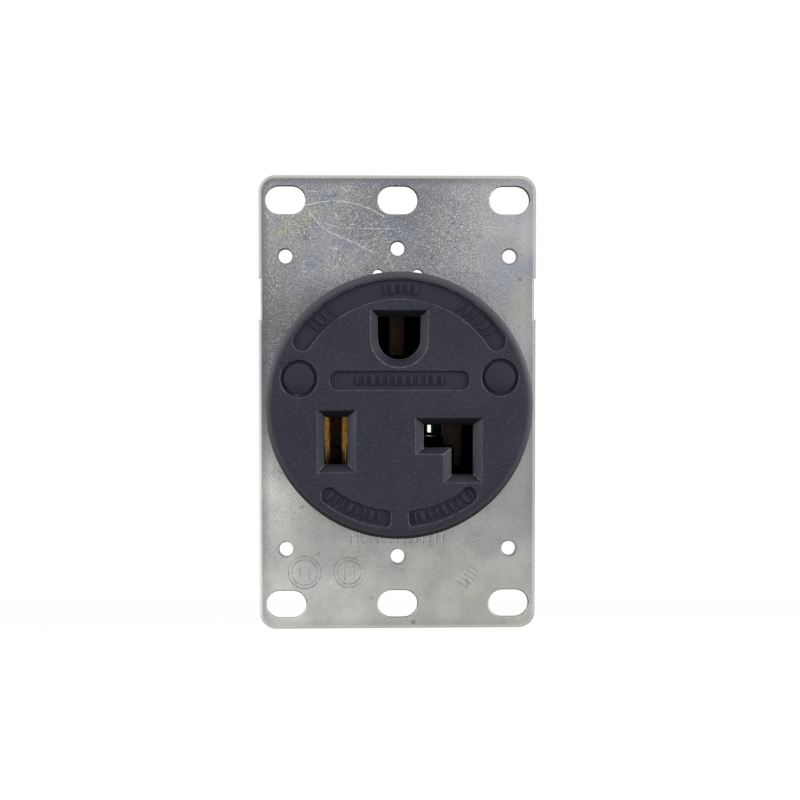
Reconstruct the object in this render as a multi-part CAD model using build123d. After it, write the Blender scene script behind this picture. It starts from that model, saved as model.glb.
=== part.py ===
from build123d import *
from math import cos, degrees, pi, sin
import os

# A single flush receptacle on a two-gang steel strap, for a two-pole plug with an earth pin.
# The strap stands in the XZ plane with +Z up. The origin is the centre of its box slots, on its
# rear face, and +Y runs into the wall box. Millimetres.

# Strap
strap_width = 57.0
strap_height = 93.5
strap_thickness = 1.57
strap_corner = 3.4
strap_edge_roll = 0.5
gang_spacing = 46.04
box_screw_spacing = 83.34
box_slot_length = 8.25
box_slot_width = 5.7
corner_tap_spacing = 60.33
centre_tap_spacing = 63.5
tap_radius = 1.43
pilot_hole = (4.05, 26.3)
pilot_radius = 1.15
side_nibble_depth = 0.35
side_nibble_span = (17.2, 25.7)
window_clearance = 0.2
window_corner = 1.5

# Depths along Y, from the room to the back of the box
strap_front = -strap_thickness
face_height = 10.0
face_front = strap_front - face_height
base_depth = 27.0
base_wall = 2.0

# How far a cutter runs past the face it cuts, and the gap between pieces that fit
past = 1.0
fit_gap = 0.02

# Face cover
face_radius = 27.0
face_edge_radius = 0.95
face_edge_bands = 3
face_wall = 3.4
face_skirt = 2.4
face_skirt_draft = 0.4
well_wall = 1.3
well_wall_corner = 1.2
well_gap = 0.9
funnel_depth = 1.7
recess_depth = 0.45
ring_step = 0.15
ring_recess = 3.8
ring_floor = 3.05
ring_places = [(-20.2, 5.5), (20.3, 5.7)]
bar_size = (28.3, 3.86)
bar_centre = (0.05, 5.09)
bar_corner = 1.7

# Curved grooves: middle radius and width, then the angles of their ends, or a start and a sweep
top_groove = (23.45, 3.9, 33.5, 113.0)
low_groove_left = (23.02, 3.45, 227.7, 265.6)
low_groove_right = (22.95, 3.3, 312.0, 274.5)

# Slots: left, right, bottom, top. The mouth is the funnel's edge and the throat its narrow end.
line_mouth = (-16.61, -8.77, -13.49, -0.82)
line_throat = (-15.10, -10.45, -11.94, -2.30)
neutral_mouth = (3.20, 16.77, -15.60, -2.43)
neutral_throat = (4.96, 15.00, -14.06, -3.96)
neutral_mouth_notch = (8.83, -9.77)
neutral_throat_notch = (10.59, -8.60)
ground_mouth = (5.86, 19.28)
ground_throat = (4.31, 17.86)
ground_round_height = 13.58

# Chambers that hold the contacts: left, right, bottom, top
line_chamber = (-17.2, -8.4, -13.4, -0.8)
neutral_chamber = (4.7, 17.2, -15.2, -2.8)
ground_chamber = (-5.4, 5.4, 8.6, 19.9)
ground_well = (-5.4, 5.4, 8.6, 18.6)
arm_relief = (6.2, 8.5, -8.5, -2.8)
chamber_corner = 0.8
chamber_floor = 10.6
collar_wall = 1.0
collar_corner = 1.4
collar_height = 1.4

# Terminal base
base_radius = 23.8
base_rear_radius = 23.3
base_rear_bevel = 1.0
base_flange_radius = 24.6
base_flange_height = 2.4
base_flange_slope = 0.8
base_flat = 22.7
ground_flat = 23.2
base_flat_start = 8.5
rib_width = 1.3
rib_height = 1.2
wire_window_floor = 0.5
wire_funnel = 0.8
wire_window_margin = 0.2
window_overlook = 0.72

# Terminals. Each is drawn with its screw along +X, its inner face at x = 0 and the wire along Y.
lug_front = 12.0
lug_rear = 24.6
lug_depth = 10.6
lug_half_height = 4.2
lug_inner_wall = 1.3
lug_outer_wall = 3.0
lug_edge_radius = 0.6
lug_clearance = 0.15
wire_half_height = 2.76
tail_thickness = 1.0
tail_half_width = 2.5
tail_setback = 1.0
plate_thickness = 0.9
plate_setback = 1.0
plate_groove = 0.3
plate_grooves = 4
screw_radius = 2.8
thread_chamfer = 0.5
screw_head_radius = 3.9
screw_head_height = 2.6
screw_head_bevel = (0.6, 0.7)
screw_head_gap = 0.7
screw_slot = (1.2, 1.3)
screw_window = 8.6
screw_window_corner = 1.2
terminal_height = -5.2
side_terminal = 8.3
ground_terminal = 9.2

# Contacts. Each leaf is given by the half widths between the leaves' centre lines at the seat, the
# pinch and the lip, then the depths of the pinch and the lip.
strip = 1.0
contact_seat = 9.5
contact_shoulder = 5.0
bend_radius = 1.5
line_centre = -12.78
neutral_centre = 12.8
line_leaf = (2.5, 1.35, 3.2, -4.7, -6.5)
neutral_leaf = (2.3, 1.4, 2.9, 0.4, -1.6)
ground_leaf = (3.0, 2.0, 3.4, 1.0, -1.4)
line_leaf_span = (-12.6, -1.6)
neutral_leaf_span = (-13.9, -4.2)
ground_leaf_span = (9.6, 18.2)

# The line leaves' lips are cut away below, outside a half width and under a height
lip_relief = (1.85, -8.3)
lip_relief_corner = 0.8

# Level leaf under the side arm: left, right, height of its seat's foot, leaf, pinch and lip, and
# the depths where the leaf bends
arm_leaf_width = (5.3, 9.3)
arm_leaf_heights = (-10.5, -7.9, -7.5, -8.8)
arm_leaf_bends = (2.0, 0.4, -2.2)
arm_leaf_radius = 0.8
arm_seat = (5.3, 11.1, -10.5, -8.1)
inner_leaf_top = -9.4

# Springs that back the leaves
spring_strip = 0.5
spring_setback = 3.8
line_spring_span = (-11.5, -8.3)
neutral_spring_span = (-13.4, -10.7)
ground_spring_span = (12.0, 16.2)

# Assembly screws and their inserts
assembly_places = [(0.0, -19.0), (-15.0, 11.5), (15.0, 11.5)]
assembly_radius = 1.75
assembly_tip = 0.6
assembly_clearance_radius = 2.0
assembly_head_radius = 3.1
assembly_head_height = 2.2
assembly_head_bevel = 0.8
assembly_slot = (0.9, 1.1)
counterbore_radius = 3.6
counterbore_depth = 3.0
boss_radius = 3.7
insert_radius = 2.4
insert_length = 5.6
insert_setback = 0.3
insert_waist = 0.3

# Bonding clip
clip_thickness = 0.8
clip_half_width = 3.0
clip_bend_radius = 0.45
clip_leg = (18.9, 19.7)
clip_top = 23.9
rivet_height = 22.0
rivet_radius = 1.1
rivet_head_radius = 1.9
rivet_head_height = 0.7
rivet_head_bevel = 0.35


# Shared helpers

def front_plane(depth):
    # Looks out of the wall: its X is the part's X and its Y is the part's Z
    return Plane(origin=(0, depth, 0), x_dir=(1, 0, 0), z_dir=(0, -1, 0))


def slab(outline, back, front):
    # Solid between two depths, back being further into the wall
    return extrude(front_plane(back) * outline, amount=back - front)


def rectangle(bounds, corner=0.0):
    left, right, bottom, top = bounds
    place = Pos((left + right) / 2, (bottom + top) / 2)
    if corner:
        return place * RectangleRounded(right - left, top - bottom, corner)
    return place * Rectangle(right - left, top - bottom)


def grown(bounds, amount):
    left, right, bottom, top = bounds
    return (left - amount, right + amount, bottom - amount, top + amount)


def l_outline(bounds, notch):
    # A rectangle without its lower left quarter
    left, right, bottom, top = bounds
    notch_x, notch_z = notch
    corners = [
        (left, top),
        (right, top),
        (right, bottom),
        (notch_x, bottom),
        (notch_x, notch_z),
        (left, notch_z),
    ]
    return make_face(Polyline(corners, close=True))


def u_outline(size):
    # Flat on top and half round below
    half_width, top = size
    middle = ground_round_height
    upper = Polyline((-half_width, middle), (-half_width, top), (half_width, top), (half_width, middle))
    lower = ThreePointArc((half_width, middle), (0, middle - half_width), (-half_width, middle))
    return make_face(upper + lower)


def terminal_frame(side):
    # Turns the terminal's own frame to its place: the screws point left, right and up
    if side == "line":
        return Pos(-side_terminal, 0, terminal_height) * Rot(0, 180, 0)
    if side == "neutral":
        return Pos(side_terminal, 0, terminal_height)
    return Pos(0, 0, ground_terminal) * Rot(0, -90, 0)


sides = ["line", "neutral", "ground"]
chambers = {"line": line_chamber, "neutral": neutral_chamber, "ground": ground_chamber}
wells = {"line": line_chamber, "neutral": neutral_chamber, "ground": ground_well}
wire_outer = lug_depth - lug_outer_wall - plate_thickness
lug_middle = (lug_front + lug_rear) / 2
head_base = lug_depth + screw_head_gap
head_face = head_base + screw_head_height


# Mounting strap

def mounting_strap():
    outline = RectangleRounded(strap_width, strap_height, strap_corner)
    low, high = side_nibble_span
    for edge in (-1, 1):
        nibble = Rectangle(2 * side_nibble_depth, high - low)
        outline -= Pos(edge * strap_width / 2, (low + high) / 2) * nibble
    blank = slab(outline, 0, strap_front)
    front_edges = blank.faces().sort_by(Axis.Y)[0].edges()
    blank = fillet(front_edges, strap_edge_roll)

    cuts = Sketch()
    for x in (-gang_spacing / 2, 0, gang_spacing / 2):
        for z in (-box_screw_spacing / 2, box_screw_spacing / 2):
            cuts += Pos(x, z) * SlotOverall(box_slot_length, box_slot_width)
    for x in (-gang_spacing / 2, gang_spacing / 2):
        for z in (-corner_tap_spacing / 2, corner_tap_spacing / 2):
            cuts += Pos(x, z) * Circle(tap_radius)
    for z in (-centre_tap_spacing / 2, centre_tap_spacing / 2):
        cuts += Pos(0, z) * Circle(tap_radius)
    for x in (-pilot_hole[0], pilot_hole[0]):
        cuts += Pos(x, pilot_hole[1]) * Circle(pilot_radius)
    for x, z in assembly_places:
        cuts += Pos(x, z) * Circle(assembly_clearance_radius)
    cuts += Pos(0, rivet_height) * Circle(rivet_radius)
    for side in sides:
        cuts += rectangle(grown(chambers[side], collar_wall + window_clearance), window_corner)
    return blank - slab(cuts, past, strap_front - past)


# Face cover

def label_groove(groove):
    # Curved groove along the rim, with one full round end and one nearly square end
    mid_radius, width, round_end, square_end = groove
    cap = degrees(width / 2 / mid_radius)
    direction = 1 if square_end > round_end else -1
    start = round_end + direction * cap
    path = CenterArc((0, 0), mid_radius, start, square_end - start)
    band = trace(path, width)
    end_corners = band.vertices().sort_by_distance(path @ 1)[0:2]
    band = fillet(end_corners, width / 4)
    return band + Pos(path @ 0) * Circle(width / 2)


def face_recesses():
    mid_radius, width, start, sweep_angle = top_groove
    recesses = SlotArc(CenterArc((0, 0), mid_radius, start, sweep_angle), width)
    recesses += Pos(*bar_centre) * RectangleRounded(*bar_size, bar_corner)
    recesses += label_groove(low_groove_left)
    recesses += label_groove(low_groove_right)
    for place in ring_places:
        recesses += Pos(*place) * Circle(ring_recess)
    return recesses


def funnel(mouth, throat):
    outer = front_plane(face_front) * mouth
    inner = front_plane(face_front + funnel_depth) * throat
    return loft([outer, inner], ruled=True)


def face_blank():
    # The rim's round edge is drawn in a few narrow bands, which keeps its facets few
    depth = face_front + face_edge_radius
    inset = face_radius - face_edge_radius
    rim = []
    for i in range(face_edge_bands + 1):
        angle = pi / 2 * i / face_edge_bands
        rim.append((inset + face_edge_radius * sin(angle), depth - face_edge_radius * cos(angle)))
    profile = Polyline((0, face_front), *rim, (face_radius, strap_front), (0, strap_front), close=True)
    return revolve(make_face(profile), axis=Axis.Y)


def cup_hollow(ceiling):
    # Drafted hollow of the cover, less the walls round the wells and the bosses for the inserts
    mouth_radius = face_radius - face_skirt
    mouth = front_plane(strap_front) * Circle(mouth_radius)
    roof = front_plane(ceiling) * Circle(mouth_radius - face_skirt_draft)
    walls = Sketch()
    for side in sides:
        walls += rectangle(grown(wells[side], well_wall), well_wall_corner)
    bosses = Sketch()
    for x, z in assembly_places:
        bosses += Pos(x, z) * Circle(boss_radius)
    hollow = loft([mouth, roof])
    hollow -= slab(walls, strap_front - well_gap, ceiling - past)
    return hollow - slab(bosses, strap_front, ceiling - past)


def face_cover():
    ceiling = face_front + face_wall
    cover = face_blank() - cup_hollow(ceiling)

    # Contact wells, blind holes for the inserts and the slots with their funnels
    for side in sides:
        cover -= slab(rectangle(wells[side], chamber_corner), strap_front + past, ceiling)
    for x, z in assembly_places:
        cover -= slab(Pos(x, z) * Circle(insert_radius + fit_gap), strap_front + past, ceiling)
    line = (rectangle(line_mouth), rectangle(line_throat))
    neutral = (
        l_outline(neutral_mouth, neutral_mouth_notch),
        l_outline(neutral_throat, neutral_throat_notch),
    )
    ground = (u_outline(ground_mouth), u_outline(ground_throat))
    for mouth, throat in (line, neutral, ground):
        cover -= funnel(mouth, throat)
        cover -= slab(throat, ceiling + past, face_front)

    # Shallow recesses on the front
    recess_floor = face_front + recess_depth
    cover -= slab(face_recesses(), recess_floor, face_front)
    for place in ring_places:
        cover -= slab(Pos(*place) * Circle(ring_floor), recess_floor + ring_step, face_front)
    return cover


# Terminal base

def base_blank():
    profile = Polyline(
        (0, 0),
        (base_flange_radius, 0),
        (base_flange_radius, base_flange_height),
        (base_radius, base_flange_height + base_flange_slope),
        (base_rear_radius, base_depth - base_rear_bevel),
        (base_rear_radius - base_rear_bevel, base_depth),
        (0, base_depth),
        close=True,
    )
    body = revolve(make_face(profile), axis=Axis.Y)

    # Flats beside the three screws
    turns = {"line": Rot(0, 180, 0), "neutral": Rot(0, 0, 0), "ground": Rot(0, -90, 0)}
    length = base_depth + past - base_flat_start
    for side in sides:
        reach = ground_flat if side == "ground" else base_flat
        block = Box(base_radius, length, 3 * base_radius, align=(Align.MIN, Align.MIN, Align.CENTER))
        body -= turns[side] * Pos(reach, base_flat_start, 0) * block
    return body


def barrier_ribs():
    # From the middle of the back out to each assembly screw
    ribs = Sketch()
    for x, z in assembly_places:
        length = (x * x + z * z) ** 0.5
        rib = Rectangle(length, rib_width, align=(Align.MIN, Align.CENTER))
        angle = Vector(1, 0, 0).get_signed_angle(Vector(x, z, 0), Vector(0, 0, 1))
        ribs += Rot(0, 0, angle) * rib
    return slab(ribs, base_depth + rib_height, base_depth - past)


def lug_pocket():
    # In the terminal's own frame, from the strap to the rear wall
    height = 2 * (lug_half_height + lug_clearance)
    depth = base_depth - base_wall
    length = lug_depth + 2 * lug_clearance
    return Pos(lug_depth / 2, depth / 2, 0) * Box(length, depth, height)


def screw_access():
    # Rounded square window from the lug out through the side wall
    window = RectangleRounded(screw_window, screw_window, screw_window_corner)
    outline = Plane.YZ * Pos(lug_middle, 0) * window
    return extrude(Pos(lug_depth, 0, 0) * outline, amount=base_radius)


def wire_window(side):
    # Rear opening in line with the wire space of the lug, flared towards the wire
    near = lug_inner_wall if side == "ground" else -window_overlook
    far = wire_outer + wire_window_margin
    height = 2 * wire_half_height
    middle = (near + far) / 2
    opening = Rectangle(far - near, height)
    wide = Rectangle(far - near + 2 * wire_funnel, height + 2 * wire_funnel)
    start = base_depth - base_wall - wire_window_floor
    inner = Plane.XZ.offset(-start) * Pos(middle, 0) * opening
    flare_small = Plane.XZ.offset(wire_funnel - base_depth) * Pos(middle, 0) * opening
    flare_wide = Plane.XZ.offset(-base_depth) * Pos(middle, 0) * wide
    return extrude(inner, amount=start - base_depth) + loft([flare_small, flare_wide], ruled=True)


def terminal_base():
    body = base_blank()

    # Collars that line the strap's windows, then the contact chambers inside them
    for side in sides:
        body += slab(rectangle(grown(chambers[side], collar_wall), collar_corner), 0, -collar_height)
    for side in sides:
        body -= slab(rectangle(chambers[side], chamber_corner), chamber_floor, -collar_height - past)

    # The room for the side arm of the L-shaped blade runs on to the rear wall beside the lug
    body -= slab(rectangle(arm_relief), base_depth - base_wall, 0)

    body += barrier_ribs()
    for side in sides:
        frame = terminal_frame(side)
        body -= frame * lug_pocket()
        body -= frame * screw_access()
        body -= frame * wire_window(side)
    for x, z in assembly_places:
        body -= slab(Pos(x, z) * Circle(assembly_clearance_radius), base_depth + rib_height + past, -past)
        counterbore = Pos(x, z) * Circle(counterbore_radius)
        body -= slab(counterbore, base_depth + rib_height + past, base_depth - counterbore_depth)
    return body


# Contacts

def contact_path(centre, leaf):
    # Centre line of the bent strip seen from above: lip, leaf, seat, leaf, lip
    half_seat, half_pinch, half_lip, pinch, lip = leaf
    left = [
        (centre - half_lip, lip),
        (centre - half_pinch, pinch),
        (centre - half_seat, contact_shoulder),
        (centre - half_seat, contact_seat),
    ]
    right = [(2 * centre - x, y) for x, y in reversed(left)]
    return FilletPolyline(*left, *right, radius=bend_radius)


line_path = contact_path(line_centre, line_leaf)
neutral_path = contact_path(neutral_centre, neutral_leaf)
ground_path = contact_path(0, ground_leaf)


def bent_strip(path, span):
    bottom, top = span
    return extrude(Pos(0, 0, bottom) * trace(path, strip), amount=top - bottom)


def terminal_tail(side):
    # Runs from the contact's seat into the lug, along the inner wall
    start = contact_seat - strip / 2
    end = lug_rear - tail_setback
    middle = lug_inner_wall + tail_thickness / 2
    blade = Pos(middle, (start + end) / 2, 0) * Box(tail_thickness, end - start, 2 * tail_half_width)
    return terminal_frame(side) * blade


def line_contact():
    contact = bent_strip(line_path, line_leaf_span)
    half_width, height = lip_relief
    left, right, bottom, top = line_chamber
    relief = rectangle((left, line_centre - half_width, bottom, height), lip_relief_corner)
    relief += rectangle((line_centre + half_width, right, bottom, height), lip_relief_corner)
    pinch, lip = line_leaf[3:5]
    contact -= slab(relief, pinch, lip - past)
    return contact + terminal_tail("line")


def neutral_contact():
    # The inner leaf stops below the slot's side arm, where a level leaf takes over
    top = neutral_leaf_span[1]
    contact = bent_strip(neutral_path, neutral_leaf_span)
    inner_face = contact_seat - strip / 2
    clear = rectangle((arm_leaf_width[0], neutral_centre, inner_leaf_top, top + past))
    contact -= slab(clear, inner_face, neutral_leaf[4] - past)
    left, right = arm_leaf_width
    foot, leaf, pinch, lip = arm_leaf_heights
    bend, pinch_depth, lip_depth = arm_leaf_bends
    level = FilletPolyline(
        (contact_seat, foot),
        (contact_seat, leaf),
        (bend, leaf),
        (pinch_depth, pinch),
        (lip_depth, lip),
        radius=arm_leaf_radius,
    )
    arm_leaf = extrude(Plane.YZ.offset(left) * trace(level, strip), amount=right - left)
    seat = slab(rectangle(arm_seat), contact_seat + strip / 2, inner_face)
    return contact + arm_leaf + seat + terminal_tail("neutral")


def ground_contact():
    # The seat reaches up to the bonding clip
    contact = bent_strip(ground_path, ground_leaf_span)
    half_width = clip_half_width - strip / 2
    tab = rectangle((-half_width, half_width, ground_leaf_span[1] - past, clip_leg[1]))
    contact += slab(tab, contact_seat + strip / 2, contact_seat - strip / 2)
    return contact + terminal_tail("ground")


def contact_spring(path, span):
    # Steel strip wrapped round the outside of the leaves, just clear of the brass
    bottom, top = span
    brass_width = strip + 2 * fit_gap
    brass = make_face(path + Line(path @ 1, path @ 0)) + trace(path, brass_width)
    band = trace(path, brass_width + 2 * spring_strip) - brass
    leaf_end = (path @ 0).Y + spring_setback
    reach = 2 * contact_seat
    keep = Pos((path @ 0.5).X, leaf_end) * Rectangle(reach, reach, align=(Align.CENTER, Align.MIN))
    return extrude(Pos(0, 0, bottom) * (band & keep), amount=top - bottom)


# Terminals

def wire_lug():
    length = lug_rear - lug_front
    block = Pos(lug_depth / 2, lug_middle, 0) * Box(lug_depth, length, 2 * lug_half_height)
    block = fillet(block.edges().filter_by(Axis.Y), lug_edge_radius)
    hole_left = lug_inner_wall
    hole_right = lug_depth - lug_outer_wall
    hole = Box(hole_right - hole_left, length + 2 * past, 2 * wire_half_height)
    block -= Pos((hole_left + hole_right) / 2, lug_middle, 0) * hole
    bore = Cylinder(screw_radius + fit_gap, lug_depth, rotation=(0, 90, 0))
    return block - Pos(lug_depth + hole_left, lug_middle, 0) * bore


def pressure_plate():
    # Cross grooves on the wire side keep the strands from pulling out
    length = lug_rear - lug_front - 2 * plate_setback
    plate = Box(plate_thickness - fit_gap, length, 2 * tail_half_width)
    cutter = Rot(0, 0, 45) * Box(plate_groove, plate_groove, 3 * tail_half_width)
    for i in range(plate_grooves):
        along = ((i + 0.5) / plate_grooves - 0.5) * length
        plate -= Pos(-plate_thickness / 2, along, 0) * cutter
    return Pos(wire_outer + plate_thickness / 2, lug_middle, 0) * plate


def terminal_screw():
    thread_start = wire_outer + plate_thickness
    bevel_length, bevel_depth = screw_head_bevel
    profile = Polyline(
        (thread_start, 0),
        (thread_start, screw_radius - thread_chamfer),
        (thread_start + thread_chamfer, screw_radius),
        (head_base, screw_radius),
        (head_base, screw_head_radius),
        (head_face - bevel_length, screw_head_radius),
        (head_face, screw_head_radius - bevel_depth),
        (head_face, 0),
        close=True,
    )
    slot_width, slot_depth = screw_slot
    slot = Pos(head_face, 0, 0) * Box(2 * slot_depth, 3 * screw_head_radius, slot_width)
    return Pos(0, lug_middle, 0) * (revolve(make_face(profile), axis=Axis.X) - slot)


# Fasteners and bonding

def assembly_screws():
    seat = base_depth - counterbore_depth
    head_top = seat + assembly_head_height
    tip = face_front + face_wall + 2 * insert_setback
    profile = Polyline(
        (0, tip),
        (assembly_radius - assembly_tip, tip),
        (assembly_radius, tip + assembly_tip),
        (assembly_radius, seat),
        (assembly_head_radius, seat),
        (assembly_head_radius, head_top - assembly_head_bevel),
        (assembly_head_radius - assembly_head_bevel, head_top),
        (0, head_top),
        close=True,
    )
    slot_width, slot_depth = assembly_slot
    slot = Pos(0, head_top, 0) * Box(3 * assembly_head_radius, 2 * slot_depth, slot_width)
    screw = revolve(make_face(profile), axis=Axis.Y) - slot
    return Compound(children=[Pos(x, 0, z) * screw for x, z in assembly_places])


def face_inserts():
    # Threaded sleeves with a waist that locks them in the moulding
    front = face_front + face_wall + insert_setback
    bore = assembly_radius + fit_gap
    waist = insert_radius - insert_waist
    profile = Polyline(
        (bore, front),
        (insert_radius, front),
        (insert_radius, front + 0.35 * insert_length),
        (waist, front + 0.4 * insert_length),
        (waist, front + 0.6 * insert_length),
        (insert_radius, front + 0.65 * insert_length),
        (insert_radius, front + insert_length),
        (bore, front + insert_length),
        close=True,
    )
    sleeve = revolve(make_face(profile), axis=Axis.Y)
    return Compound(children=[Pos(x, 0, z) * sleeve for x, z in assembly_places])


def bonding_clip():
    # Lies on the strap's front and turns in through the ground window to the contact's seat
    leg_centre = sum(clip_leg) / 2
    face_centre = strap_front - clip_thickness / 2
    bend = FilletPolyline(
        (contact_seat - strip / 2, leg_centre),
        (face_centre, leg_centre),
        (face_centre, clip_top),
        radius=clip_bend_radius,
    )
    section = Plane.YZ.offset(-clip_half_width) * trace(bend, clip_thickness)
    clip = extrude(section, amount=2 * clip_half_width)
    return clip - slab(Pos(0, rivet_height) * Circle(rivet_radius), 0, strap_front - clip_thickness - past)


def bonding_rivet():
    # Flush with the strap's rear, with a low bevelled head on the clip
    head_seat = strap_front - clip_thickness
    shank = slab(Circle(rivet_radius - fit_gap), 0, head_seat)
    head = slab(Circle(rivet_head_radius), head_seat, head_seat - rivet_head_height)
    head = chamfer(head.edges().sort_by(Axis.Y)[0], rivet_head_bevel)
    return Pos(0, 0, rivet_height) * (shank + head)


def build():
    parts = {
        "mounting_strap": mounting_strap(),
        "face_cover": face_cover(),
        "terminal_base": terminal_base(),
        "line_contact": line_contact(),
        "neutral_contact": neutral_contact(),
        "ground_contact": ground_contact(),
        "line_contact_spring": contact_spring(line_path, line_spring_span),
        "neutral_contact_spring": contact_spring(neutral_path, neutral_spring_span),
        "ground_contact_spring": contact_spring(ground_path, ground_spring_span),
        "assembly_screws": assembly_screws(),
        "face_inserts": face_inserts(),
        "bonding_clip": bonding_clip(),
        "bonding_rivet": bonding_rivet(),
    }
    for side in sides:
        frame = terminal_frame(side)
        parts[side + "_wire_lug"] = frame * wire_lug()
        parts[side + "_pressure_plate"] = frame * pressure_plate()
        parts[side + "_terminal_screw"] = frame * terminal_screw()
    return parts


os.makedirs("parts", exist_ok=True)
for name, piece in build().items():
    export_step(piece, "parts/" + name + ".step")
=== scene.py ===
import bmesh
import bpy
from math import cos, pi, radians, sin
from mathutils import Matrix, Vector


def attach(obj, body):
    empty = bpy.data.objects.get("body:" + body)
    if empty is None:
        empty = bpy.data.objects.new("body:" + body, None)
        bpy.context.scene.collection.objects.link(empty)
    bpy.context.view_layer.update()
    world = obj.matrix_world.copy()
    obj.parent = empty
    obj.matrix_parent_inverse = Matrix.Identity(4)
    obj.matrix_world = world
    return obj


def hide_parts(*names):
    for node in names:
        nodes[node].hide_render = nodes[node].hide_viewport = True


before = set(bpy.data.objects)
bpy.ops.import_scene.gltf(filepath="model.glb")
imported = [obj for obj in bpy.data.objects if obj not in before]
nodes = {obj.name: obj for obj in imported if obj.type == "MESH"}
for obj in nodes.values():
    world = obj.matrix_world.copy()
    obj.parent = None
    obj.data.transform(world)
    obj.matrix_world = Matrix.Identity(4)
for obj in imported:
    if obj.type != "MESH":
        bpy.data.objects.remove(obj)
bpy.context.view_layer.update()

mm = 0.001
print("frame loaded,", len(nodes), "nodes")


def linear(hexColour):
    # sRGB hex to the linear colour that a shader takes
    channels = [int(hexColour[i:i + 2], 16) / 255 for i in (0, 2, 4)]
    return [c / 12.92 if c <= 0.04045 else ((c + 0.055) / 1.055) ** 2.4 for c in channels] + [1.0]


def addNode(tree, kind, settings=None, inputs=None, output=0):
    # one shader node with its settings; an input is a fixed value or another node's output
    made = tree.nodes.new("ShaderNode" + kind)
    for name, value in (settings or {}).items():
        setattr(made, name, value)
    for name, value in (inputs or {}).items():
        if isinstance(value, bpy.types.NodeSocket):
            tree.links.new(value, made.inputs[name])
        else:
            made.inputs[name].default_value = value
    return made.outputs[output] if made.outputs else made


def newMaterial(name, fixed):
    # a bare shader with its fixed values, and the piece's own coordinates
    material = bpy.data.materials.new(name)
    material.use_nodes = True
    tree = material.node_tree
    tree.nodes.clear()
    shader = tree.nodes.new("ShaderNodeBsdfPrincipled")
    for socket, value in fixed.items():
        shader.inputs[socket].default_value = value
    addNode(tree, "OutputMaterial", None, {"Surface": shader.outputs[0]})
    return material, tree, shader, addNode(tree, "TexCoord", output="Object")


def finishShader(tree, shader, tone, layers, roughness, normal):
    # lays each colour over the ones before by its share, then links the shader
    for share, shade in layers:
        tone = addNode(tree, "Mix", {"data_type": "RGBA"}, {0: share, 6: tone, 7: shade}, 2)
    for socket, value in (("Base Color", tone), ("Roughness", roughness), ("Normal", normal)):
        tree.links.new(value, shader.inputs[socket])


def distanceFrom(tree, place, axis, centres):
    # distance from the nearest of some lines that run along one axis
    flat = [0.0 if letter == axis else 1.0 for letter in "XYZ"]
    nearest = None
    for centre in centres:
        moved = addNode(tree, "VectorMath", {"operation": "SUBTRACT"},
            {0: place, 1: [c * mm for c in centre]})
        across = addNode(tree, "VectorMath", {"operation": "MULTIPLY"}, {0: moved, 1: flat})
        radius = addNode(tree, "VectorMath", {"operation": "LENGTH"}, {0: across}, "Value")
        if nearest is not None:
            radius = addNode(tree, "Math", {"operation": "MINIMUM"}, {0: nearest, 1: radius})
        nearest = radius
    return nearest


# Glass-filled nylon from a grained steel tool. The flats are dull and leathery, and the rim, the
# slot funnels and the label recesses come off polished steel, so they are smoother. Plug blades
# and handling have rubbed the crisp edges paler, which also serves as a painted highlight.
nylon = {
    "body": "33333d", "pale": "3b3b46", "grainTop": "4c4c59", "rim": "515257", "recess": "363642",
    "groove": "25252e", "rubbed": "7a7a82", "black": "08080a", "dust": "85858b",
    "grain": 0.40, "fineGrain": 0.16, "cloud": 11, "speck": 0.9, "depth": 0.07,
    "dull": 0.60, "smooth": 0.46,
    # the front plane, where the flat ends, how softly, and the depths at which a recess begins
    "front": -11.57, "flatRadius": 25.9, "border": 0.2, "skin": (0.08, 0.16),
    # shares of the pale grain tops, the painted shade on funnel walls and on undersides, and dust
    "topShare": 0.8, "wallShare": 0.45, "underShadeShare": 0.82, "dustShare": 0.7,
    # discs in the round recesses: their centres, their edge and the edge of the groove round them
    "discs": [(-20.2, 0, 5.5), (20.3, 0, 5.7)], "discEdge": 3.05, "grooveEdge": 3.85,
    "discTop": -11.34, "discSunk": 0.4, "discRound": 0.1, "discSides": 96,
    # edge breaks, and which of their faces take the wear and painted highlight: area in mm2, angle,
    # lean to the front
    "edge": 0.14, "broadFace": 2.2, "crownAngle": 0.2, "wearHighlightLean": -0.35,
}


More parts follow.
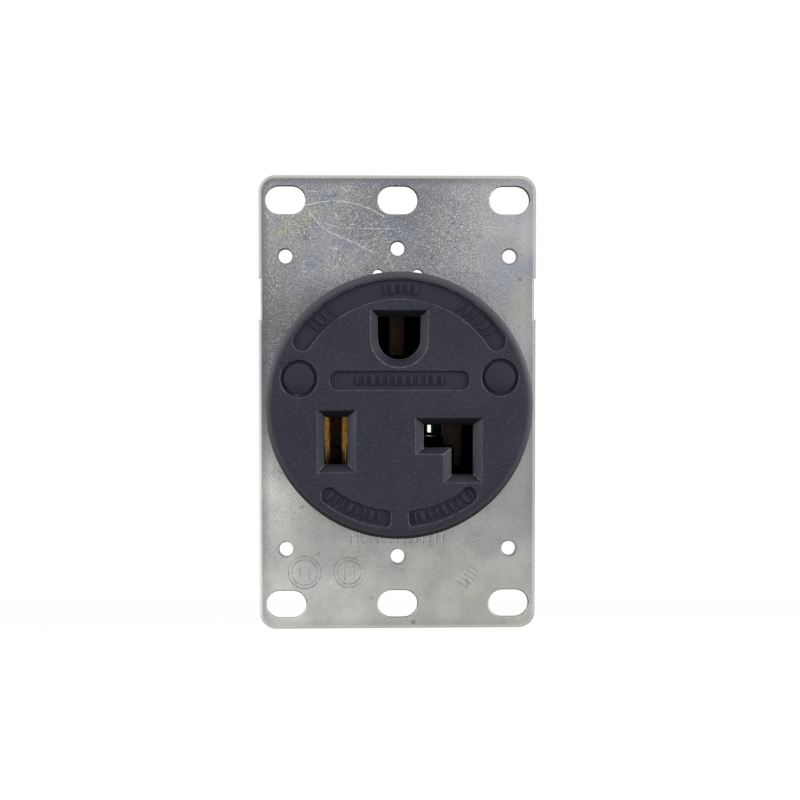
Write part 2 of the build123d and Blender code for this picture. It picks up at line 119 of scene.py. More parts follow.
def mouldedNylon():
    material, tree, shader, place = newMaterial("nylon_moulded_grained",
        {"IOR": 1.53, "Specular IOR Level": 0.12})
    radius = distanceFrom(tree, place, "Y", [(0, 0, 0)])
    depth = addNode(tree, "SeparateXYZ", None, {0: place}, "Y")
    normal = addNode(tree, "NewGeometry", output="Normal")
    facing = addNode(tree, "SeparateXYZ", None, {0: normal}, "Y")
    onFlat = addNode(tree, "MapRange", None,
        {"Value": radius, "From Min": (nylon["flatRadius"] + nylon["border"]) * mm,
        "From Max": (nylon["flatRadius"] - nylon["border"]) * mm})
    level = addNode(tree, "MapRange", None, {"Value": facing, "From Min": -0.93, "From Max": -0.98})
    sunkFrom, sunkTo = [(nylon["front"] + skin) * mm for skin in nylon["skin"]]
    sunk = addNode(tree, "MapRange", None,
        {"Value": depth, "From Min": sunkFrom, "From Max": sunkTo})
    inRecess = addNode(tree, "Math", {"operation": "MULTIPLY"}, {0: level, 1: sunk})
    grained = addNode(tree, "Math", {"operation": "MULTIPLY"}, {0: onFlat, 1: level})
    grained = addNode(tree, "Math", {"operation": "MULTIPLY_ADD"},
        {0: inRecess, 1: -0.6, 2: grained})
    grained = addNode(tree, "Math", {"operation": "MAXIMUM"}, {0: grained, 1: 0.12})

    # the tool's grain runs a little wider than tall
    wide = addNode(tree, "Mapping", None,
        {"Vector": place, "Scale": [share / (nylon["grain"] * mm) for share in (0.55, 1, 1.25)]})
    leather = addNode(tree, "TexNoise", None,
        {"Vector": wide, "Scale": 1.0, "Detail": 3.0, "Roughness": 0.62, "Distortion": 0.7})
    fine = addNode(tree, "TexNoise", None,
        {"Vector": place, "Scale": 1 / (nylon["fineGrain"] * mm), "Detail": 1.0})
    cloud = addNode(tree, "TexNoise", None,
        {"Vector": place, "Scale": 1 / (nylon["cloud"] * mm), "Detail": 3.0})
    specks = addNode(tree, "TexNoise", None,
        {"Vector": place, "Scale": 1 / (nylon["speck"] * mm), "Detail": 2.0, "Roughness": 0.75})

    cloudShare = addNode(tree, "MapRange", None,
        {"Value": cloud, "From Min": 0.35, "From Max": 0.65})
    base, layers = linear(nylon["body"]), [(cloudShare, linear(nylon["pale"]))]
    tops = addNode(tree, "MapRange", None,
        {"Value": leather, "From Min": 0.46, "From Max": 0.70, "To Max": nylon["topShare"]})
    tops = addNode(tree, "Math", {"operation": "MULTIPLY"}, {0: tops, 1: grained})
    layers.append((tops, linear(nylon["grainTop"])))
    layers.append((inRecess, linear(nylon["recess"])))
    # painted shade: the narrow grooves round the two discs are darker
    fromDisc = distanceFrom(tree, place, "Y", nylon["discs"])
    groove = addNode(tree, "MapRange", None,
        {"Value": fromDisc, "From Min": (nylon["discEdge"] - 0.05) * mm,
        "From Max": (nylon["discEdge"] + 0.05) * mm})
    within = addNode(tree, "Math", {"operation": "LESS_THAN"},
        {0: fromDisc, 1: nylon["grooveEdge"] * mm})
    groove = addNode(tree, "Math", {"operation": "MULTIPLY"}, {0: groove, 1: within})
    groove = addNode(tree, "Math", {"operation": "MULTIPLY"}, {0: groove, 1: inRecess})
    layers.append((groove, linear(nylon["groove"])))
    # painted shade: the funnels' walls are a little darker than the flats
    wall = addNode(tree, "MapRange", None,
        {"Value": facing, "From Min": -0.9, "From Max": -0.75, "To Max": nylon["wallShare"]})
    layers.append((wall, linear(nylon["groove"])))
    offFlat = addNode(tree, "Math", {"operation": "SUBTRACT"}, {0: 1.0, 1: onFlat})
    layers.append((offFlat, linear(nylon["rim"])))
    # painted shade: faces that look down are darkened nearly to black
    upwards = addNode(tree, "SeparateXYZ", None, {0: normal}, "Z")
    undersideShade = addNode(tree, "MapRange", None,
        {"Value": upwards, "From Min": -0.06, "From Max": -0.45, "To Max": nylon["underShadeShare"]})
    layers.append((undersideShade, linear(nylon["black"])))
    # the crowns of the edge breaks turn paler: wear, and a painted highlight
    worn = addNode(tree, "Attribute", {"attribute_name": "rubbed"}, None, "Fac")
    patchy = addNode(tree, "MapRange", None,
        {"Value": specks, "From Min": 0.38, "From Max": 0.62, "To Min": 0.12, "To Max": 0.85})
    worn = addNode(tree, "Math", {"operation": "MULTIPLY"}, {0: worn, 1: patchy})
    layers.append((worn, linear(nylon["rubbed"])))
    dusty = addNode(tree, "MapRange", None,
        {"Value": specks, "From Min": 0.76, "From Max": 0.80, "To Max": nylon["dustShare"]})
    layers.append((dusty, linear(nylon["dust"])))

    gloss = addNode(tree, "MapRange", None,
        {"Value": grained, "From Min": 0.1, "To Min": nylon["smooth"], "To Max": nylon["dull"]})
    height = addNode(tree, "Math", {"operation": "MULTIPLY_ADD"}, {0: fine, 1: 0.3, 2: leather})
    height = addNode(tree, "Math", {"operation": "MULTIPLY"}, {0: height, 1: grained})
    relief = addNode(tree, "Bump", None, {"Height": height, "Distance": nylon["depth"] * mm})
    finishShader(tree, shader, base, layers, gloss, relief)
    return material


# Phenolic pressed in a polished mould: harder and blacker than the face, with a low sheen, faint
# flow clouds and a fine bloom of filler.
phenolic = {
    "body": "232326", "cloud": "2f2f33", "filler": "48484c", "chamber": "0b0b0c", "chamberShade": 0.75,
    "dull": 0.62, "shiny": 0.50, "sheen": 0.2, "flow": 5, "grit": 0.25, "relief": 0.012,
    "coreRadius": 20, "coreEnd": 26.8, "edge": 0.15,
}


def pressedPhenolic():
    material, tree, shader, place = newMaterial("phenolic_pressed", {"IOR": 1.55})
    flow = addNode(tree, "Mapping", None,
        {"Vector": place, "Scale": [share / (phenolic["flow"] * mm) for share in (1, 0.35, 1)]})
    flow = addNode(tree, "TexNoise", None,
        {"Vector": flow, "Scale": 1.0, "Detail": 4.0, "Roughness": 0.6, "Distortion": 0.5})
    filler = addNode(tree, "TexNoise", None,
        {"Vector": place, "Scale": 1 / (phenolic["grit"] * mm), "Detail": 2.0})
    share = addNode(tree, "MapRange", None, {"Value": flow, "From Min": 0.35, "From Max": 0.65})
    base, layers = linear(phenolic["body"]), [(share, linear(phenolic["cloud"]))]
    grit = addNode(tree, "MapRange", None,
        {"Value": filler, "From Min": 0.6, "From Max": 0.75, "To Max": 0.5})
    layers.append((grit, linear(phenolic["filler"])))
    gloss = addNode(tree, "MapRange", None,
        {"Value": flow, "From Min": 0.3, "From Max": 0.7, "To Min": phenolic["shiny"],
        "To Max": phenolic["dull"]})
    # painted shade: inside the cores' reach the chambers are darkened and lose their sheen
    radius = distanceFrom(tree, place, "Y", [(0, 0, 0)])
    within = addNode(tree, "Math", {"operation": "LESS_THAN"},
        {0: radius, 1: phenolic["coreRadius"] * mm})
    depth = addNode(tree, "SeparateXYZ", None, {0: place}, "Y")
    ahead = addNode(tree, "Math", {"operation": "LESS_THAN"},
        {0: depth, 1: phenolic["coreEnd"] * mm})
    within = addNode(tree, "Math", {"operation": "MULTIPLY"}, {0: within, 1: ahead})
    chamberShade = addNode(tree, "Math", {"operation": "MULTIPLY"}, {0: within, 1: phenolic["chamberShade"]})
    layers.append((chamberShade, linear(phenolic["chamber"])))
    sheen = addNode(tree, "MapRange", None,
        {"Value": within, "To Min": phenolic["sheen"], "To Max": 0.0})
    tree.links.new(sheen, shader.inputs["Specular IOR Level"])
    relief = addNode(tree, "Bump", None, {"Height": filler, "Distance": phenolic["relief"] * mm})
    finishShader(tree, shader, base, layers, gloss, relief)
    return material


# Hot-dip galvanised sheet. Zinc crystals 0.2 to 0.6 mm across, coarse above and rubbed smooth at
# the foot, with blue and straw passivation tints, handling scratches and a stain.
zinc = {
    "base": "9d9ea0", "darkGrain": "66686c", "paleGrain": "cbcbc7", "speck": "f2f2f0",
    "foot": "b0afaa", "blue": "868ca0", "straw": "a09d8c", "shade": "77797e", "scratch": "e2e2de",
    "metallic": 0.85, "edgeTint": 0.2, "dull": 0.52, "rubbed": 0.38, "punched": 0.4, "depth": 0.05,
    # each pattern's size, detail and roughness
    "patterns": {
        "wander": (16, 2, 0.5), "grain": (0.30, 3, 0.6), "pit": (0.9, 3, 0.6),
        "cloud": (7, 4, 0.6), "patches": (6, 2, 0.55), "glint": (0.75, 1, 0.4),
        "spot": (2.2, 1, 0.5), "tint": (10, 3, 0.5),
    },
    # mottle: its pattern, where it starts and is full, its share, what limits it, and its tone
    "mottle": [
        ("cloud", 0.60, 0.35, 0.35, None, "shade"), ("blue", 0.53, 0.68, 0.5, "coarse", "blue"),
        ("straw", 0.55, 0.72, 0.35, None, "straw"), ("stain", 1.45, 1.15, 0.5, "front", "straw"),
        ("grain", 0.50, 0.33, 1.0, "patches", "darkGrain"),
        ("grain", 0.54, 0.69, 0.9, "patches", "paleGrain"),
        ("pit", 0.40, 0.30, 0.5, "patches", "darkGrain"),
        ("glint", 0.76, 0.80, 1.0, "coarse", "speck"),
        ("spot", 0.74, 0.80, 0.6, None, "darkGrain"),
    ],
    # the crystals stand out above a border, which wanders this far, and fade to the right
    "smoothBelow": -15, "coarseAbove": 30, "wanderReach": 50, "calmFrom": 13, "calmTo": 25,
    # one long curved scratch: centre x and z, radius, from x, to x, and width
    "arc": (-13.15, 23.06, 18.45, -19.0, -2.7, 0.20),
    # straight scratches: width, share, then x and z of each bend
    "strokes": [
        (0.22, 1.0, [(-18.8, 40.1), (-15.9, 36.5), (-13.9, 35.1), (-10.2, 33.6), (-4.9, 31.0)]),
        (0.16, 0.9, [(-22.7, 37.4), (-21.1, 38.7)]),
        (0.16, 0.8, [(-18.6, 43.3), (-13.3, 43.7)]),
        (0.24, 1.0, [(-11.4, 44.4), (-10.5, 43.4), (-10.0, 43.9)]),
        (0.18, 0.8, [(-7.2, 31.8), (-6.4, 33.0)]),
        (0.24, 0.9, [(-27.2, 39.1), (-25.9, 37.3)]),
        (0.14, 0.5, [(-26.5, 36.5), (-26.4, 31.6)]),
        (0.16, 0.8, [(-15.1, 37.0), (-12.1, 36.1)]),
        (0.14, 0.85, [(-11.7, 36.0), (0.5, 35.8)]),
        (0.12, 0.6, [(17.6, 36.2), (21.5, 36.1)]),
        (0.42, 1.0, [(-12.7, 38.8), (-12.3, 38.3)]),
        (0.42, 1.0, [(-12.9, 31.9), (-12.4, 31.7)]),
        (0.36, 1.0, [(-14.6, 27.5), (-14.2, 27.4)]),
    ],
    # dark scuffs, written like the strokes
    "scuffs": [
        (0.30, 0.5, [(8.9, 35.2), (9.7, 33.3)]),
        (0.30, 0.6, [(11.0, 35.0), (11.9, 33.8), (12.2, 32.3)]),
        (0.26, 0.45, [(16.4, 35.0), (18.3, 33.3)]),
        (0.34, 0.55, [(13.0, 26.9), (16.8, 26.7), (18.9, 27.3)]),
        (0.34, 0.5, [(13.8, 25.3), (17.2, 26.6)]),
    ],
    # stamped rings: middle x and z, outer radius
    "rings": [(-19.23, -35.04, 3.35), (-10.05, -35.04, 3.15)], "innerRing": 0.7,
    # rows of stamped strokes: middle x and z, turn, count, step and height
    "rows": [(-19.23, -35.04, 0, 2, 1.9, 2.8), (-10.05, -35.04, 0, 2, 1.9, 2.8),
             (-0.1, -27.9, 0, 15, 1.35, 1.5), (14.65, -36.17, -55, 5, 1.0, 2.4)],
    "stamp": 0.32, "stampDepth": 1.6, "jitter": 0.5,
    # stain: middle x and z, half length, half width and slope
    "stain": (-20.6, 37.3, 6.4, 1.9, 30),
    # duller and brighter areas, partly the zinc's own tone and partly painted reflection: middle x
    # and z, reach, share and tone
    "toneAndReflectionAreas": [
        (-27.0, 17.0, 17.0, 0.75, "6d6f72"), (0.0, 40.0, 17.0, 0.85, "64666a"),
        (-18.0, 40.0, 14.0, 0.5, "808184"), (24.0, 38.0, 11.0, 0.6, "b2b2b4"),
        (26.0, -21.0, 11.0, 0.45, "84858a"), (-22.0, -42.0, 24.0, 0.8, "cfcdc8"),
        (-27.0, -18.0, 15.0, 0.9, "dcdcd6"), (22.0, -42.0, 15.0, 0.45, "c2c1b9"),
        (28.0, 12.0, 13.0, 0.7, "bababa"), (31.0, 34.0, 6.0, 0.8, "cacac8"),
    ],
    # how ragged an area is, how far past its reach it starts, and where it is full
    "areaRagged": 8, "areaPast": 6, "areaFull": 4,
    # rolled edge: the strap's half width, half height and corner, then the band's width and tone
    # the tone beside it is painted shade, where the rolled edge looks right
    "edge": (28.5, 46.75, 3.4, 0.6, "bebebb"), "edgeRightShade": "7e7f7e", "bandSoft": (0.1, 0.15),
    # the darker margin beside it: where it starts and is full from the edge, and its share
    "margin": (2.4, 0.9, 0.65),
    # the holes' walls: the way the painted light comes, then how far, the share and the tone of the
    # painted shade on the upper walls and of the painted light on the lower lips
    "lean": (0.5, 0, 0.85), "walls": [(-0.5, 0.85, "18181a"), (0.6, 0.06, "e4e4e0")],
}


def distanceToStroke(tree, place, start, end):
    # distance from a straight stroke on the sheet's front, both ends given as x and z
    along = Vector((end[0] - start[0], 0, end[1] - start[1]))
    direction = along.normalized()
    moved = addNode(tree, "VectorMath", {"operation": "SUBTRACT"},
        {0: place, 1: (start[0] * mm, 0, start[1] * mm)})
    reach = addNode(tree, "VectorMath", {"operation": "DOT_PRODUCT"}, {0: moved, 1: direction},
        "Value")
    reach = addNode(tree, "MapRange", None,
        {"Value": reach, "From Max": along.length * mm, "To Max": along.length * mm})
    nearest = addNode(tree, "VectorMath", {"operation": "SCALE"}, {0: direction, "Scale": reach})
    away = addNode(tree, "VectorMath", {"operation": "SUBTRACT"}, {0: moved, 1: nearest})
    away = addNode(tree, "VectorMath", {"operation": "MULTIPLY"}, {0: away, 1: (1, 0, 1)})
    return addNode(tree, "VectorMath", {"operation": "LENGTH"}, {0: away}, "Value")


def distanceToRow(tree, place, x, z, turn, count, step, height):
    # distance from a row of strokes on the sheet's front, turned about its middle
    moved = addNode(tree, "VectorMath", {"operation": "SUBTRACT"},
        {0: place, 1: (x * mm, 0, z * mm)})
    turned = addNode(tree, "Mapping", None, {"Vector": moved, "Rotation": (0, radians(-turn), 0)})
    along = addNode(tree, "SeparateXYZ", None, {0: turned}, "X")
    first = addNode(tree, "Math", {"operation": "ADD"}, {0: along, 1: (count - 1) / 2 * step * mm})
    nearest = addNode(tree, "Math", {"operation": "PINGPONG"}, {0: first, 1: step / 2 * mm})
    tall = addNode(tree, "SeparateXYZ", None, {0: turned}, "Z")
    for out, reach in ((along, (count - 1) / 2 * step), (tall, height / 2)):
        past = addNode(tree, "Math", {"operation": "ABSOLUTE"}, {0: out})
        past = addNode(tree, "Math", {"operation": "SUBTRACT"}, {0: past, 1: reach * mm})
        nearest = addNode(tree, "Math", {"operation": "MAXIMUM"}, {0: nearest, 1: past})
    return nearest


def galvanisedSheet():
    material, tree, shader, place = newMaterial("steel_hot_dip_galvanised",
        {"Metallic": zinc["metallic"], "Specular Tint": [zinc["edgeTint"]] * 3 + [1.0]})
    across = addNode(tree, "SeparateXYZ", None, {0: place}, "X")
    up = addNode(tree, "SeparateXYZ", None, {0: place}, "Z")
    normal = addNode(tree, "NewGeometry", output="Normal")
    facing = addNode(tree, "SeparateXYZ", None, {0: normal}, "Y")
    pattern = {}
    for name, (size, detail, rough) in zinc["patterns"].items():
        settings = {"Vector": place, "Scale": 1 / (size * mm), "Detail": detail, "Roughness": rough}
        output = "Color" if name == "tint" else 0
        pattern[name] = addNode(tree, "TexNoise", None, settings, output)
    for name, channel in (("blue", 0), ("straw", 1)):
        pattern[name] = addNode(tree, "SeparateColor", None, {0: pattern["tint"]}, channel)
    pits = pattern["pit"]

    bent = addNode(tree, "Math", {"operation": "MULTIPLY_ADD"},
        {0: pattern["wander"], 1: zinc["wanderReach"] * mm, 2: up})
    coarse = addNode(tree, "MapRange", None,
        {"Value": bent, "From Min": zinc["smoothBelow"] * mm, "From Max": zinc["coarseAbove"] * mm,
        "To Min": 0.25})
    # the paler foot and the duller and brighter areas are partly the zinc's own tone and partly a
    # painted reflection, darker above and paler below
    atFoot = addNode(tree, "MapRange", None, {"Value": coarse, "From Min": 0.85, "From Max": 0.25})
    base, layers = linear(zinc["base"]), [(atFoot, linear(zinc["foot"]))]
    for x, z, reach, share, shade in zinc["toneAndReflectionAreas"]:
        away = distanceFrom(tree, place, "Y", [(x, 0, z)])
        away = addNode(tree, "Math", {"operation": "MULTIPLY_ADD"},
            {0: pattern["cloud"], 1: zinc["areaRagged"] * mm, 2: away})
        inside = addNode(tree, "MapRange", {"interpolation_type": "SMOOTHSTEP"},
            {"Value": away, "From Min": (reach + zinc["areaPast"]) * mm,
            "From Max": zinc["areaFull"] * mm, "To Max": share})
        layers.append((inside, linear(shade)))

    # the stain, the stamps and the scratches mark the front only
    onFront = addNode(tree, "Math", {"operation": "LESS_THAN"}, {0: facing, 1: -0.5})
    # the stain is an oval turned to its slope
    x, z, halfLength, halfWidth, slope = zinc["stain"]
    centred = addNode(tree, "VectorMath", {"operation": "SUBTRACT"},
        {0: place, 1: (x * mm, 0, z * mm)})
    turned = addNode(tree, "Mapping", None, {"Vector": centred, "Rotation": (0, radians(slope), 0)})
    oval = addNode(tree, "VectorMath", {"operation": "MULTIPLY"},
        {0: turned, 1: (1 / (halfLength * mm), 0, 1 / (halfWidth * mm))})
    stain = addNode(tree, "VectorMath", {"operation": "LENGTH"}, {0: oval}, "Value")
    pattern["stain"] = addNode(tree, "Math", {"operation": "MULTIPLY_ADD"},
        {0: pits, 1: 0.8, 2: stain})

    # the crystals stand out in patches and lie calm between them
    calm = addNode(tree, "MapRange", None,
        {"Value": across, "From Min": zinc["calmFrom"] * mm, "From Max": zinc["calmTo"] * mm,
        "To Min": 1.0, "To Max": 0.3})
    calmCoarse = addNode(tree, "Math", {"operation": "MULTIPLY"}, {0: calm, 1: coarse})
    patches = addNode(tree, "MapRange", None,
        {"Value": pattern["patches"], "From Min": 0.40, "From Max": 0.62, "To Min": 0.6})
    patches = addNode(tree, "Math", {"operation": "MULTIPLY"}, {0: patches, 1: calmCoarse})
    limits = {"coarse": coarse, "front": onFront, "patches": patches}
    for name, start, full, share, limit, shade in zinc["mottle"]:
        amount = addNode(tree, "MapRange", None,
            {"Value": pattern[name], "From Min": start, "From Max": full, "To Max": share})
        if limit:
            amount = addNode(tree, "Math", {"operation": "MULTIPLY"}, {0: amount, 1: limits[limit]})
        layers.append((amount, linear(zinc[shade])))

    # the rolled edge is rubbed pale: a distance to the outline with its round corners
    halfWidth, halfHeight, corner, band, shade = zinc["edge"]
    mirrored = addNode(tree, "VectorMath", {"operation": "ABSOLUTE"}, {0: place})
    beyond = addNode(tree, "VectorMath", {"operation": "SUBTRACT"},
        {0: mirrored, 1: ((halfWidth - corner) * mm, 1.0, (halfHeight - corner) * mm)})
    beyond = addNode(tree, "VectorMath", {"operation": "MAXIMUM"}, {0: beyond, 1: (0, 0, 0)})
    beyond = addNode(tree, "VectorMath", {"operation": "LENGTH"}, {0: beyond}, "Value")
    start, full, share = zinc["margin"]
    margin = addNode(tree, "MapRange", None,
        {"Value": beyond, "From Min": (corner - start) * mm, "From Max": (corner - full) * mm,
        "To Max": share})
    margin = addNode(tree, "Math", {"operation": "MULTIPLY"}, {0: margin, 1: calmCoarse})
    layers.append((margin, linear(zinc["darkGrain"])))
    before, after = zinc["bandSoft"]
    rolled = addNode(tree, "MapRange", None,
        {"Value": beyond, "From Min": (corner - band - before) * mm,
        "From Max": (corner - band + after) * mm, "To Max": 0.75})
    # painted shade: where the rolled edge looks right it takes a darker tone
    beside = addNode(tree, "SeparateXYZ", None, {0: normal}, "X")
    beside = addNode(tree, "MapRange", None, {"Value": beside, "From Min": 0.1, "From Max": 0.5})
    shade = addNode(tree, "Mix", {"data_type": "RGBA"},
        {0: beside, 6: linear(shade), 7: linear(zinc["edgeRightShade"])}, 2)
    layers.append((rolled, shade))

    # walls of the punched holes: painted shade where they look down, painted light where they look
    # up
    inHole = addNode(tree, "Math", {"operation": "LESS_THAN"},
        {0: beyond, 1: (corner - band - before) * mm})
    lean = addNode(tree, "VectorMath", {"operation": "DOT_PRODUCT"}, {0: normal, 1: zinc["lean"]},
        "Value")
    for far, share, shade in zinc["walls"]:
        wall = addNode(tree, "MapRange", None,
            {"Value": lean, "From Min": far * 0.25, "From Max": far, "To Max": share})
        wall = addNode(tree, "Math", {"operation": "MULTIPLY"}, {0: wall, 1: inHole})
        layers.append((wall, linear(shade)))

    # stamped rings and strokes: shallow dents with soft sides
    stamped = None
    for row in zinc["rows"]:
        away = distanceToRow(tree, place, *row)
        if stamped is not None:
            away = addNode(tree, "Math", {"operation": "MINIMUM"}, {0: stamped, 1: away})
        stamped = away
    for x, z, radius in zinc["rings"]:
        middle = distanceFrom(tree, place, "Y", [(x, 0, z)])
        for ring in (radius, radius - zinc["innerRing"]):
            away = addNode(tree, "Math", {"operation": "SUBTRACT"}, {0: middle, 1: ring * mm})
            away = addNode(tree, "Math", {"operation": "ABSOLUTE"}, {0: away})
            stamped = addNode(tree, "Math", {"operation": "MINIMUM"}, {0: stamped, 1: away})
    stamped = addNode(tree, "MapRange", {"interpolation_type": "SMOOTHSTEP"},
        {"Value": stamped, "From Min": zinc["stamp"] * mm, "From Max": 0.0})
    stamped = addNode(tree, "Math", {"operation": "MULTIPLY"}, {0: stamped, 1: onFront})
    patchy = addNode(tree, "MapRange", None,
        {"Value": pits, "From Min": 0.4, "From Max": 0.6, "To Min": 0.3, "To Max": 0.8})
    stampShare = addNode(tree, "Math", {"operation": "MULTIPLY"}, {0: stamped, 1: patchy})
    layers.append((stampShare, linear(zinc["shade"])))

    # scratches wander a little from their lines and skip in places
    jitter = addNode(tree, "Math", {"operation": "MULTIPLY_ADD"},
        {0: pits, 1: zinc["jitter"] * mm, 2: -zinc["jitter"] / 2 * mm})
    x, z, radius, start, end, width = zinc["arc"]
    away = distanceFrom(tree, place, "Y", [(x, 0, z)])
    away = addNode(tree, "Math", {"operation": "SUBTRACT"}, {0: away, 1: radius * mm})
    away = addNode(tree, "Math", {"operation": "ADD"}, {0: away, 1: jitter})
    away = addNode(tree, "Math", {"operation": "ABSOLUTE"}, {0: away})
    scratched = addNode(tree, "MapRange", None,
        {"Value": away, "From Min": 0.5 * width * mm, "From Max": 0.2 * width * mm})
    for operation, value, limit in (("GREATER_THAN", across, start), ("LESS_THAN", across, end),
            ("GREATER_THAN", up, z)):
        inside = addNode(tree, "Math", {"operation": operation}, {0: value, 1: limit * mm})
        scratched = addNode(tree, "Math", {"operation": "MULTIPLY"}, {0: scratched, 1: inside})
    skips = addNode(tree, "MapRange", None,
        {"Value": pits, "From Min": 0.36, "From Max": 0.52, "To Min": 0.22, "To Max": 0.65})
    skips = addNode(tree, "Math", {"operation": "MULTIPLY"}, {0: skips, 1: onFront})
    for marked, strokes, shade in ((scratched, zinc["strokes"], zinc["scratch"]),
            (0.0, zinc["scuffs"], zinc["darkGrain"])):
        for width, share, bends in strokes:
            for start, end in zip(bends, bends[1:]):
                away = addNode(tree, "Math", {"operation": "ADD"},
                    {0: distanceToStroke(tree, place, start, end), 1: jitter})
                line = addNode(tree, "MapRange", None,
                    {"Value": away, "From Min": 0.5 * width * mm, "From Max": 0.2 * width * mm,
                    "To Max": share})
                marked = addNode(tree, "Math", {"operation": "MAXIMUM"}, {0: marked, 1: line})
        marked = addNode(tree, "Math", {"operation": "MULTIPLY"}, {0: marked, 1: skips})
        layers.append((marked, linear(shade)))

    gloss = addNode(tree, "MapRange", None,
        {"Value": coarse, "From Min": 0.25, "To Min": zinc["rubbed"], "To Max": zinc["dull"]})
    gloss = addNode(tree, "Math", {"operation": "MULTIPLY_ADD"}, {0: rolled, 1: 0.25, 2: gloss})
    # the punched edges are duller than the faces
    level = addNode(tree, "Math", {"operation": "ABSOLUTE"}, {0: facing})
    tilted = addNode(tree, "MapRange", None, {"Value": level, "From Min": 0.95, "From Max": 0.75})
    tilted = addNode(tree, "Math", {"operation": "MULTIPLY"}, {0: tilted, 1: inHole})
    gloss = addNode(tree, "Math", {"operation": "MULTIPLY_ADD"},
        {0: tilted, 1: zinc["punched"], 2: gloss})
    height = addNode(tree, "Math", {"operation": "ADD"}, {0: pattern["grain"], 1: pits})
    height = addNode(tree, "Math", {"operation": "MULTIPLY"}, {0: height, 1: coarse})
    height = addNode(tree, "Math", {"operation": "MULTIPLY_ADD"},
        {0: stamped, 1: -zinc["stampDepth"], 2: height})
    relief = addNode(tree, "Bump", None, {"Height": height, "Distance": zinc["depth"] * mm})
    finishShader(tree, shader, base, layers, gloss, relief)
    return material


# Strip metal: the size of its tarnish clouds and spots, how far its lines stretch and stand out,
# and the tone of its painted shade
strip = {"cloud": 2.4, "spot": 0.7, "stretch": 0.06, "relief": 0.008, "innerShade": "100f0d"}


def drawnSurface(tree, place, roughness, grain, along):
    # long rolling lines one way, as gloss and relief, and clouds with their share
    drawn = [(strip["stretch"] if axis == along else 1.0) / (grain * mm) for axis in "XYZ"]
    lines = addNode(tree, "Mapping", None, {"Vector": place, "Scale": drawn})
    lines = addNode(tree, "TexNoise", None,
        {"Vector": lines, "Scale": 1.0, "Detail": 3.0, "Roughness": 0.6})
    gloss = addNode(tree, "MapRange", None,
        {"Value": lines, "From Min": 0.3, "From Max": 0.7, "To Min": roughness - 0.07,
        "To Max": roughness + 0.1})
    relief = addNode(tree, "Bump", None, {"Height": lines, "Distance": strip["relief"] * mm})
    cloud = addNode(tree, "TexNoise", None,
        {"Vector": place, "Scale": 1 / (strip["cloud"] * mm), "Detail": 3.0, "Roughness": 0.65})
    share = addNode(tree, "MapRange", None, {"Value": cloud, "From Min": 0.40, "From Max": 0.66})
    return gloss, relief, cloud, share


def rolledStrip(name, tones, roughness, grain, along, edgeTint=1.0, innerShade=0.0):
    # strip metal: rolling lines, tarnish in clouds and spots, and painted shade on faces that don't
    # look out of the rear
    material, tree, shader, place = newMaterial(name,
        {"Metallic": 1.0, "Specular Tint": [edgeTint] * 3 + [1.0]})
    gloss, relief, _, share = drawnSurface(tree, place, roughness, grain, along)
    base, layers = linear(tones[0]), [(share, linear(tones[1]))]
    spots = addNode(tree, "TexNoise", None,
        {"Vector": place, "Scale": 1 / (strip["spot"] * mm), "Detail": 2.0})
    spotShare = addNode(tree, "MapRange", None,
        {"Value": spots, "From Min": 0.66, "From Max": 0.76, "To Max": 0.7})
    layers.append((spotShare, linear(tones[2])))
    # painted shade darkens the faces that don't look out of the rear
    normal = addNode(tree, "NewGeometry", output="Normal")
    behind = addNode(tree, "SeparateXYZ", None, {0: normal}, "Y")
    behind = addNode(tree, "MapRange", None,
        {"Value": behind, "From Min": 0.6, "From Max": 0.3, "To Max": innerShade})
    layers.append((behind, linear(strip["innerShade"])))
    finishShader(tree, shader, base, layers, gloss, relief)
    return material


# Cartridge brass strip, bright where plugs rub the lips, with painted shade that turns it nearly
# black further in and towards the bottom
leafBrass = {
    "bright": "ead09a", "brown": "c09a5c", "deepShade": "2c241e", "roughness": 0.34, "grain": 0.16,
    "brightTo": -4.5, "shadeFrom": -3.2, "ragged": 0.8, "lowFrom": -8.4, "lowTo": -11.4,
}


def shadedLeaves():
    material, tree, shader, place = newMaterial("brass_rolled_shaded", {"Metallic": 1.0})
    depth = addNode(tree, "SeparateXYZ", None, {0: place}, "Y")
    gloss, relief, cloud, share = drawnSurface(tree, place, leafBrass["roughness"],
        leafBrass["grain"], "Z")
    base, layers = linear(leafBrass["bright"]), [(share, linear(leafBrass["brown"]))]
    # painted shade: the leaves darken the deeper they lie
    ragged = addNode(tree, "Math", {"operation": "MULTIPLY_ADD"},
        {0: cloud, 1: leafBrass["ragged"] * mm, 2: depth})
    middle = leafBrass["ragged"] / 2
    dark = addNode(tree, "MapRange", {"interpolation_type": "SMOOTHSTEP"},
        {"Value": ragged, "From Min": (leafBrass["brightTo"] + middle) * mm,
        "From Max": (leafBrass["shadeFrom"] + middle) * mm})
    layers.append((dark, linear(leafBrass["deepShade"])))
    # painted shade: the leaves darken towards the bottom
    low = addNode(tree, "SeparateXYZ", None, {0: place}, "Z")
    low = addNode(tree, "MapRange", None,
        {"Value": low, "From Min": leafBrass["lowFrom"] * mm, "From Max": leafBrass["lowTo"] * mm,
        "To Max": 0.6})
    layers.append((low, linear(leafBrass["deepShade"])))
    finishShader(tree, shader, base, layers, gloss, relief)
    return material


# Turned pieces: the size of their lathe rings, plating clouds and scuffs, and their relief
lathe = {"ring": 0.16, "cloud": 1.8, "scuff": 0.3, "relief": 0.012}


